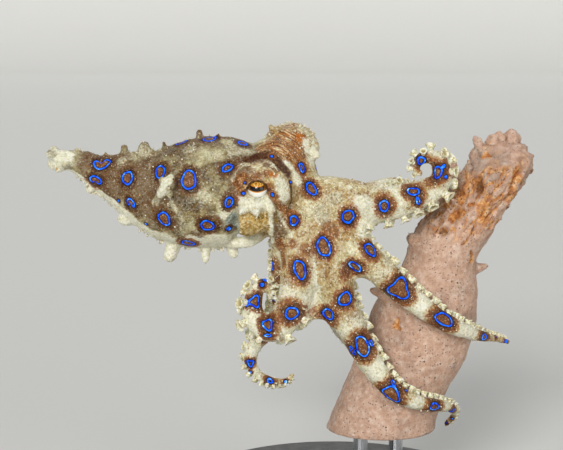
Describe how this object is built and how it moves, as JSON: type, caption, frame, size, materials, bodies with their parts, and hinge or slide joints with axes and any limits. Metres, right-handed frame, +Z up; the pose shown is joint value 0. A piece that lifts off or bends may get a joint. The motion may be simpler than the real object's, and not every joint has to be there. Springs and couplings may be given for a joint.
{
  "type": "blue-ringed octopus",
  "caption": "Life-size still model of a small blue-ringed octopus gripping a cut branch of sponge, held on a round display stand by short rods.",
  "frame": {"origin": "the middle of the underside of the stand's round base", "axes": "+X from the point of the mantle towards the arms and the perch, -Y the side of the right eye, +Z up"},
  "size_m": [0.0987, 0.064, 0.0831],
  "materials": {
    "skin": "moist, mottled cream and brown with blue rings",
    "eye": "gloss",
    "sponge": "matt, rough and porous",
    "stand_base": "satin black acrylic",
    "stand_rod": "satin"
  },
  "bodies": {
    "root": {"mantle": "skin", "head": "skin", "eye_left": "eye", "eye_right": "eye", "funnel": "skin", "crown": "skin", "web_left_1_right_1": "skin", "web_left_2_left_1": "skin", "web_left_3_left_2": "skin", "web_left_4_left_3": "skin", "web_right_1_right_2": "skin", "web_right_2_right_3": "skin", "web_right_3_right_4": "skin", "web_right_4_left_4": "skin", "arm_left_1_base": "skin", "arm_left_1_middle": "skin", "arm_left_1_tip": "skin", "arm_left_2_base": "skin", "arm_left_2_middle": "skin", "arm_left_2_tip": "skin", "arm_left_3_base": "skin", "arm_left_3_middle": "skin", "arm_left_3_tip": "skin", "arm_left_4_base": "skin", "arm_left_4_middle": "skin", "arm_left_4_tip": "skin", "arm_right_1_base": "skin", "arm_right_1_middle": "skin", "arm_right_1_tip": "skin", "arm_right_2_base": "skin", "arm_right_2_middle": "skin", "arm_right_2_tip": "skin", "arm_right_3_base": "skin", "arm_right_3_middle": "skin", "arm_right_3_tip": "skin", "arm_right_4_base": "skin", "arm_right_4_middle": "skin", "arm_right_4_tip": "skin", "perch_sponge": "sponge", "stand_base": "stand_base", "stand_rod_back": "stand_rod", "stand_rod_front": "stand_rod"}
  },
  "joints": []
}
